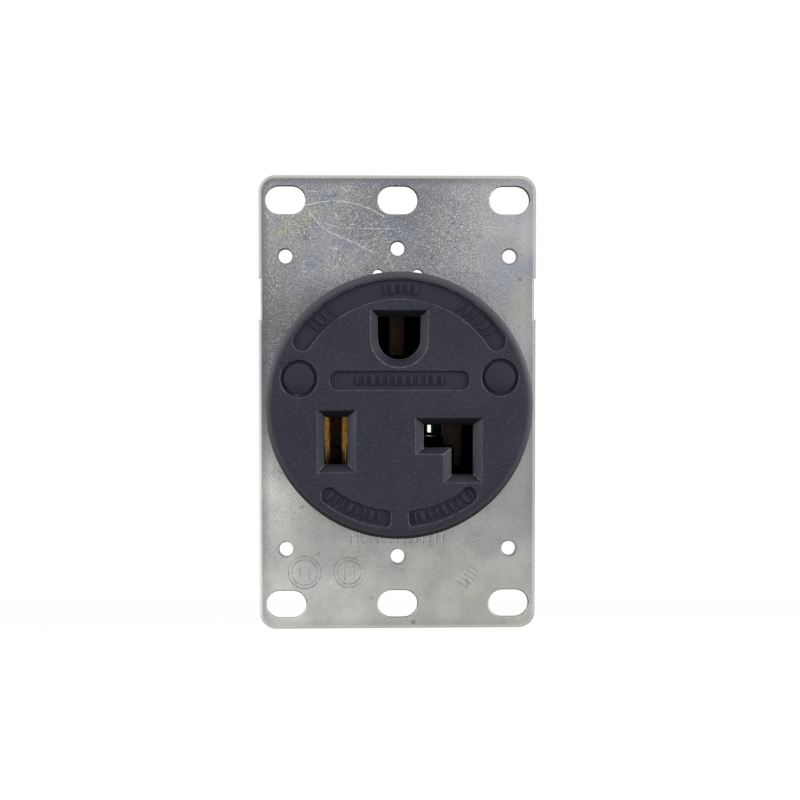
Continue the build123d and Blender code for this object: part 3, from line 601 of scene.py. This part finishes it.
def turnedMetal(name, tones, roughness, axis, centres, metallic=1.0):
    # lathe rings about the piece's own axis, with the plating clouded and rubbed
    material, tree, shader, place = newMaterial(name, {"Metallic": metallic})
    radius = distanceFrom(tree, place, axis, centres)
    rings = addNode(tree, "Math", {"operation": "MULTIPLY"},
        {0: radius, 1: 1 / (lathe["ring"] * mm)})
    rings = addNode(tree, "TexNoise", {"noise_dimensions": "1D"},
        {"W": rings, "Scale": 1.0, "Detail": 3.0, "Roughness": 0.7})
    cloud = addNode(tree, "TexNoise", None,
        {"Vector": place, "Scale": 1 / (lathe["cloud"] * mm), "Detail": 3.0, "Roughness": 0.6})
    scuffs = addNode(tree, "TexNoise", None,
        {"Vector": place, "Scale": 1 / (lathe["scuff"] * mm), "Detail": 2.0})
    share = addNode(tree, "MapRange", None, {"Value": cloud, "From Min": 0.38, "From Max": 0.68})
    base, layers = linear(tones[0]), [(share, linear(tones[1]))]
    worn = addNode(tree, "MapRange", None,
        {"Value": scuffs, "From Min": 0.62, "From Max": 0.74, "To Max": 0.6})
    layers.append((worn, linear(tones[2])))
    gloss = addNode(tree, "MapRange", None,
        {"Value": rings, "From Min": 0.3, "From Max": 0.7, "To Min": roughness - 0.08,
        "To Max": roughness + 0.1})
    height = addNode(tree, "Math", {"operation": "MULTIPLY_ADD"}, {0: scuffs, 1: 0.3, 2: rings})
    relief = addNode(tree, "Bump", None, {"Height": height, "Distance": lathe["relief"] * mm})
    finishShader(tree, shader, base, layers, gloss, relief)
    return material


# the lines that the screws, the inserts and the rivet are turned about
screwLine = {"side": (0, 18.3, -5.2), "ground": (0, 18.3, 0), "rivet": (0, 0, 22.0)}
assembly = [(0, 0, -19.0), (-15.0, 0, 11.5), (15.0, 0, 11.5)]
nylonFace = mouldedNylon()
phenolicBase = pressedPhenolic()
zincSheet = galvanisedSheet()
leafStrip = shadedLeaves()
# hardened and blued strip, nearly black
bluedStrip = rolledStrip("spring_steel_blued", ("24262d", "191a20", "3a2f28"), 0.36, 0.14, "Z")
# pressed from bright hard strip
plateStrip = rolledStrip("steel_hard_rolled", ("85878d", "63656c", "4b4540"), 0.34, 0.14, "Z")
# extruded aluminium, sawn and tin plated: grey and dull, with a weak shine at its edges and painted
# shade on the faces that don't look out of the rear
tinned = ("a4a4a0", "8a8a85", "6b6b66")
tinnedBlock = rolledStrip("aluminium_tin_plated", tinned, 0.58, 0.22, "Y", 0.1, 0.95)
# rolled brass for the clip, with its lines across the bend
clipTones = ("cf9b45", "a9742d", "74501f")
clipBrass = rolledStrip("brass_rolled_clip", clipTones, 0.32, 0.16, "X")
turnedFinishes = {
    # bar brass, clouded by handling
    "face_inserts": ("brass_turned_inserts", ("cf9a41", "a8742a", "8a5d22"), 0.30, "Y", assembly),
    "line_terminal_screw": ("brass_turned", ("d2a04a", "ad7a31", "8d5f24"), 0.28, "X",
                            [screwLine["side"]]),
    "bonding_rivet": ("brass_rivet", clipTones, 0.34, "Y", [screwLine["rivet"]]),
    # bright zinc, slightly yellow where it is worn
    "assembly_screws": ("steel_zinc_plated", ("b9bcc0", "9da0a5", "d6d3c2"), 0.30, "Y", assembly),
    # nickel, warm and grey
    "neutral_terminal_screw": ("steel_nickel_plated", ("c9c6bd", "aaa79c", "8f8b80"), 0.26, "X",
                               [screwLine["side"]]),
    # green lacquer, worn paler in its scuffs
    "ground_terminal_screw": ("steel_green_lacquered", ("24703c", "1a5a2e", "5d8f63"), 0.36, "Z",
                              [screwLine["ground"]], 0.25),
}
dressing = {name: turnedMetal(*finish) for name, finish in turnedFinishes.items()}
dressing["bonding_clip"] = clipBrass
for name in nodes:
    if name.endswith("_contact"):
        dressing[name] = leafStrip
    elif name.endswith("_spring"):
        dressing[name] = bluedStrip
    elif name.endswith("_plate"):
        dressing[name] = plateStrip
    elif name.endswith("_lug"):
        dressing[name] = tinnedBlock
print("materials made")


# fitted to the photo's own marks, in millimetres from the strap's middle
camera = {
    "place": (-15.46, -400.69, 21.92), "aim": (0.478, -1.57, 0.661), "lens": 87.3, "sensor": 36.0,
    "near": 0.01,
}

eye = bpy.data.objects.new("camera", bpy.data.cameras.new("camera"))
bpy.context.scene.collection.objects.link(eye)
eye.data.lens = camera["lens"]
eye.data.sensor_width = camera["sensor"]
eye.data.clip_start = camera["near"]
eye.location = Vector(camera["place"]) * mm
sight = Vector(camera["aim"]) - Vector(camera["place"])
eye.rotation_euler = sight.to_track_quat("-Z", "Y").to_euler()
bpy.context.scene.camera = eye
print("camera set")


# Finished copies: what counts as one vertex, a flat, a crisp edge and a soft one, in mm and degrees
fairing = {"merge": 0.002, "flat": 0.4, "crisp": 32, "rollCrisp": 50, "onPlane": 0.005, "soft": 40}


def toObject(bm, name):
    mesh = bpy.data.meshes.new(name)
    bm.to_mesh(mesh)
    bm.free()
    piece = bpy.data.objects.new(name, mesh)
    bpy.context.scene.collection.objects.link(piece)
    return piece


def smoothUpTo(piece, angle):
    for face in piece.data.polygons:
        face.use_smooth = True
    piece.data.set_sharp_from_angle(angle=radians(angle))


def applyModifiers(piece):
    result = bpy.data.meshes.new_from_object(
        piece.evaluated_get(bpy.context.evaluated_depsgraph_get()))
    piece.modifiers.clear()
    piece.data = result


def cutOut(piece, cutter):
    cut = piece.modifiers.new("cut", "BOOLEAN")
    cut.operation = "DIFFERENCE"
    cut.solver = "EXACT"
    cut.object = cutter
    applyModifiers(piece)
    bpy.data.objects.remove(cutter)


def rollFront(piece, front, roll):
    # rounds the crisp edges that lie in one front plane
    bm = bmesh.new()
    bm.from_mesh(piece.data)
    near = fairing["onPlane"] * mm
    onFront = [e for e in bm.edges if all(abs(v.co.y - front) < near for v in e.verts)]
    crisp = [e for e in onFront if e.calc_face_angle(0) > radians(fairing["rollCrisp"])]
    bmesh.ops.bevel(bm, geom=crisp, offset=roll, segments=3, profile=0.5, affect="EDGES",
        material=-1)
    bm.to_mesh(piece.data)
    bm.free()


def finished(nodeName, name, edge, roll=0.0):
    # a merged copy of a node with its crisp edges broken
    bm = bmesh.new()
    bm.from_mesh(nodes[nodeName].data)
    bmesh.ops.remove_doubles(bm, verts=bm.verts, dist=fairing["merge"] * mm)
    bmesh.ops.dissolve_limit(bm, angle_limit=radians(fairing["flat"]), verts=bm.verts,
        edges=bm.edges)
    piece = toObject(bm, name)
    if roll:
        rollFront(piece, strap["front"] * mm, roll * mm)
    smoothUpTo(piece, fairing["crisp"])
    rounding = piece.modifiers.new("edges", "BEVEL")
    rounding.width = edge * mm
    rounding.segments = 3
    rounding.profile = 0.5
    rounding.limit_method = "ANGLE"
    rounding.angle_limit = radians(fairing["crisp"])
    rounding.use_clamp_overlap = False
    rounding.harden_normals = True
    applyModifiers(piece)
    return piece


def rubAndHighlightEdges(piece, broad):
    # marks the crown of each outward edge's rounding, for the material's wear and painted highlight
    bm = bmesh.new()
    bm.from_mesh(piece.data)
    bm.normal_update()
    rubbed = bm.verts.layers.float.new("rubbed")
    for vert in bm.verts:
        narrow = all(face.calc_area() < broad * mm * mm for face in vert.link_faces)
        bends = [edge.calc_face_angle_signed(0) > nylon["crownAngle"] for edge in vert.link_edges]
        inside = Vector((vert.co.x, vert.co.z)).length < nylon["flatRadius"] * mm
        forward = vert.normal.y < nylon["wearHighlightLean"]
        vert[rubbed] = 1.0 if narrow and sum(bends) >= 2 and inside and forward else 0.0
    bm.to_mesh(piece.data)
    bm.free()


def dress(piece, material, slotName, *replaced):
    piece.data.materials.clear()
    piece.data.materials.append(material)
    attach(piece, "root")
    if replaced:
        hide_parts(*replaced)


def frontPlace(x, z, depth, turn=0.0):
    # a place on a front face, turned about the line that runs into the wall
    return Matrix.Translation((x * mm, depth * mm, z * mm)) @ Matrix.Rotation(radians(turn), 4, "Y")


# Face cover. Its label recesses hold plain raised bars.
labels = {
    "floor": -11.12, "proud": 0.24, "height": 2.1, "thin": 0.36, "broad": 0.75, "round": 0.10,
    "topRadius": 23.45, "topWords": [(-41.5, 4), (0.5, 5), (41.5, 6)], "lowRadius": 23.0,
    "lowWords": [(-156.0, 8), (156.5, 9)], "barMiddle": (0.05, 5.09), "barCount": 12, "step": 1.55,
    "sunk": 0.1,
}


def addBar(bm, x, z, turn, width):
    made = bmesh.ops.create_cube(bm, size=1.0)
    size = Matrix.Diagonal((width * mm, (labels["proud"] + labels["sunk"]) * mm,
        labels["height"] * mm, 1))
    place = frontPlace(x, z, labels["floor"] + (labels["sunk"] - labels["proud"]) / 2, turn)
    bmesh.ops.transform(bm, matrix=place @ size, verts=made["verts"])
    top = labels["floor"] * mm
    edges = {e for v in made["verts"] for e in v.link_edges if all(p.co.y < top for p in e.verts)}
    bmesh.ops.bevel(bm, geom=list(edges), offset=labels["round"] * mm, segments=2, profile=0.5,
        affect="EDGES", material=-1)


def labelBars():
    bm = bmesh.new()
    words = [(labels["topRadius"], *word) for word in labels["topWords"]]
    words += [(labels["lowRadius"], *word) for word in labels["lowWords"]]
    for radius, middle, count in words:
        for i in range(count):
            angle = middle + (i - (count - 1) / 2) * labels["step"] / radius * 180 / pi
            width = labels["broad"] if i % 3 == 1 else labels["thin"]
            addBar(bm, radius * sin(radians(angle)), radius * cos(radians(angle)), angle, width)
    for i in range(labels["barCount"]):
        x = labels["barMiddle"][0] + (i - (labels["barCount"] - 1) / 2) * labels["step"]
        addBar(bm, x, labels["barMiddle"][1], 0, labels["broad"] if i % 4 == 2 else labels["thin"])
    return toObject(bm, "label_bars")


def plainDiscs():
    # stand in the round recesses, a little below the face
    bm = bmesh.new()
    radius = nylon["discEdge"] * mm
    height = labels["floor"] - nylon["discTop"] + nylon["discSunk"]
    for x, _, z in nylon["discs"]:
        made = bmesh.ops.create_cone(bm, cap_ends=True, segments=nylon["discSides"], radius1=radius,
            radius2=radius, depth=height * mm)
        place = frontPlace(x, z, nylon["discTop"] + height / 2) @ Matrix.Rotation(pi / 2, 4, "X")
        bmesh.ops.transform(bm, matrix=place, verts=made["verts"])
        top = (nylon["discTop"] + 0.01) * mm
        rim = {e for v in made["verts"] for e in v.link_edges if all(p.co.y < top for p in e.verts)}
        bmesh.ops.bevel(bm, geom=list(rim), offset=nylon["discRound"] * mm, segments=2, profile=0.5,
            affect="EDGES", material=-1)
    return toObject(bm, "face_discs")


faceCover = finished("face_cover", "face_cover_moulding", nylon["edge"])
rubAndHighlightEdges(faceCover, nylon["broadFace"])
dress(faceCover, nylonFace, "moulded_face", "face_cover")
bars = labelBars()
smoothUpTo(bars, fairing["soft"])
dress(bars, nylonFace, "moulded_face")
discs = plainDiscs()
smoothUpTo(discs, fairing["rollCrisp"])
dress(discs, nylonFace, "moulded_face")
print("face cover made")


# Strap. Its six tapped holes get their countersinks and threads.
strap = {
    "front": -1.57, "edge": 0.05, "roll": 0.26, "sunk": 0.3, "sides": 48, "through": 6,
    # thread: radii, pitch, turns, steps in a turn, bare mouths, crest and bite into the wall
    "major": 1.75, "minor": 1.42, "pitch": 0.794, "turns": 4, "steps": 28, "mouth": 0.4,
    "crest": (0.42, 0.58), "overlap": 0.02,
    # four corner taps and two on the centre line
    "taps": [(x, z) for x in (-23.02, 23.02) for z in (-30.165, 30.165)]
        + [(0, z) for z in (-31.75, 31.75)],
}


def tapCutters(outer, inner, middle, length):
    # one cone for each tapped hole, its outer end towards the room
    bm = bmesh.new()
    for x, z in strap["taps"]:
        made = bmesh.ops.create_cone(bm, cap_ends=True, segments=strap["sides"], radius1=inner * mm,
            radius2=outer * mm, depth=length * mm)
        bmesh.ops.transform(bm, matrix=frontPlace(x, z, middle) @ Matrix.Rotation(pi / 2, 4, "X"),
            verts=made["verts"])
    return toObject(bm, "tap_cutters")


def strapThreads():
    # one ridge spun along its helix, trimmed to the sheet and copied to each hole
    bm = bmesh.new()
    pitch, outer, inner = strap["pitch"], strap["major"] + strap["overlap"], strap["minor"]
    start = strap["front"] / 2 - pitch * strap["turns"] / 2
    section = [(outer, 0)] + [(inner, share) for share in strap["crest"]] + [(outer, 1.0)]
    corners = [bm.verts.new((x * mm, (start + share * pitch) * mm, 0)) for x, share in section]
    ridge = bm.faces.new(corners)
    count = strap["turns"] * strap["steps"]
    bmesh.ops.spin(bm, geom=[ridge], cent=(0, 0, 0), axis=(0, 1, 0),
        dvec=(0, pitch / strap["steps"] * mm, 0), angle=2 * pi * strap["turns"], steps=count)
    for depth, outwards in ((strap["front"] + strap["mouth"], -1), (-strap["mouth"], 1)):
        whole = bm.verts[:] + bm.edges[:] + bm.faces[:]
        cut = bmesh.ops.bisect_plane(bm, geom=whole, plane_co=(0, depth * mm, 0),
            plane_no=(0, outwards, 0), clear_outer=True)
        rims = [e for e in cut["geom_cut"] if isinstance(e, bmesh.types.BMEdge)]
        bmesh.ops.holes_fill(bm, edges=rims)
    bmesh.ops.recalc_face_normals(bm, faces=bm.faces)
    one = bm.verts[:] + bm.edges[:] + bm.faces[:]
    first = [v for v in one if isinstance(v, bmesh.types.BMVert)]
    for x, z in strap["taps"][1:]:
        copied = bmesh.ops.duplicate(bm, geom=one)["geom"]
        moved = [v for v in copied if isinstance(v, bmesh.types.BMVert)]
        bmesh.ops.translate(bm, vec=(x * mm, 0, z * mm), verts=moved)
    x, z = strap["taps"][0]
    bmesh.ops.translate(bm, vec=(x * mm, 0, z * mm), verts=first)
    return toObject(bm, "strap_threads")


# the punch rolls the sheet's front edges, and the taps and their countersinks come after it
strapPlate = finished("mounting_strap", "strap_plate", strap["edge"], strap["roll"])
cutOut(strapPlate, tapCutters(strap["major"], strap["major"], strap["front"] / 2, strap["through"]))
cutOut(strapPlate, tapCutters(strap["major"] + strap["sunk"], strap["major"] - strap["sunk"],
    strap["front"], 2 * strap["sunk"]))
smoothUpTo(strapPlate, fairing["rollCrisp"])
levelled = strapPlate.modifiers.new("levelled", "WEIGHTED_NORMAL")
levelled.keep_sharp = True
applyModifiers(strapPlate)
dress(strapPlate, zincSheet, "galvanised_steel", "mounting_strap")
threads = strapThreads()
smoothUpTo(threads, fairing["soft"])
dress(threads, zincSheet, "galvanised_steel")
print("strap made")


basePiece = finished("terminal_base", "terminal_base_moulding", phenolic["edge"])
dress(basePiece, phenolicBase, "moulded_base", "terminal_base")
for name, cadNode in nodes.items():
    cadNode.data.materials.clear()
    cadNode.data.materials.append(dressing.get(name, phenolicBase))
print("base made, nodes dressed")


# Studio: a pale floor, an even white surround and soft lamps
studio = {
    "floor": -0.16, "span": 1.5, "paper": "f2f2f2", "bounce": "262626", "shown": 1.3,
    "shadowShare": 0.3, "surround": 0.06,
}
# each lamp's place and size in metres, and its watts
lamps = {
    "lamp_top": ((-0.2, -0.55, 0.75), (0.6, 0.4), 1.2),
    "lamp_left": ((-0.85, -0.3, 0.22), (0.3, 0.6), 7.6),
    "lamp_right": ((0.85, -0.3, 0.22), (0.3, 0.6), 10.2),
}


def seenAsWhite(tree):
    # camera, mirror and glass rays
    paths = tree.nodes.new("ShaderNodeLightPath").outputs
    seen = addNode(tree, "Math", {"operation": "MAXIMUM"},
        {0: paths["Is Glossy Ray"], 1: paths["Is Transmission Ray"]})
    return addNode(tree, "Math", {"operation": "MAXIMUM"}, {0: seen, 1: paths["Is Camera Ray"]})


bm = bmesh.new()
bmesh.ops.create_grid(bm, x_segments=1, y_segments=1, size=studio["span"] / 2)
bmesh.ops.translate(bm, vec=(0, 0, studio["floor"]), verts=bm.verts)
floor = toObject(bm, "floor")
paper = bpy.data.materials.new("paper_white")
paper.use_nodes = True
tree = paper.node_tree
tree.nodes.clear()
matt = addNode(tree, "BsdfDiffuse", None, {"Color": linear(studio["paper"])})
dim = addNode(tree, "BsdfDiffuse", None, {"Color": linear(studio["bounce"])})
white = addNode(tree, "Emission", None, {"Strength": studio["shown"]})
shown = addNode(tree, "MixShader", None, {0: studio["shadowShare"], 1: white, 2: matt})
mixed = addNode(tree, "MixShader", None, {0: seenAsWhite(tree), 1: dim, 2: shown})
addNode(tree, "OutputMaterial", None, {"Surface": mixed})
floor.data.materials.append(paper)

world = bpy.data.worlds.new("studio")
bpy.context.scene.world = world
world.use_nodes = True
tree = world.node_tree
tree.nodes.clear()
soft = addNode(tree, "Background", None, {"Color": (1, 1, 1, 1), "Strength": studio["surround"]})
plain = addNode(tree, "Background", None, {"Color": (1, 1, 1, 1), "Strength": 1.0})
mixed = addNode(tree, "MixShader", None, {0: seenAsWhite(tree), 1: soft, 2: plain})
addNode(tree, "OutputWorld", None, {"Surface": mixed})

for name, (place, size, power) in lamps.items():
    data = bpy.data.lights.new(name, "AREA")
    data.shape = "RECTANGLE"
    data.size, data.size_y = size
    data.energy = power
    made = bpy.data.objects.new(name, data)
    made.location = place
    made.rotation_euler = (-Vector(place)).to_track_quat("-Z", "Y").to_euler()
    bpy.context.scene.collection.objects.link(made)
print("studio set")

bpy.context.scene.view_settings.view_transform = "Standard"
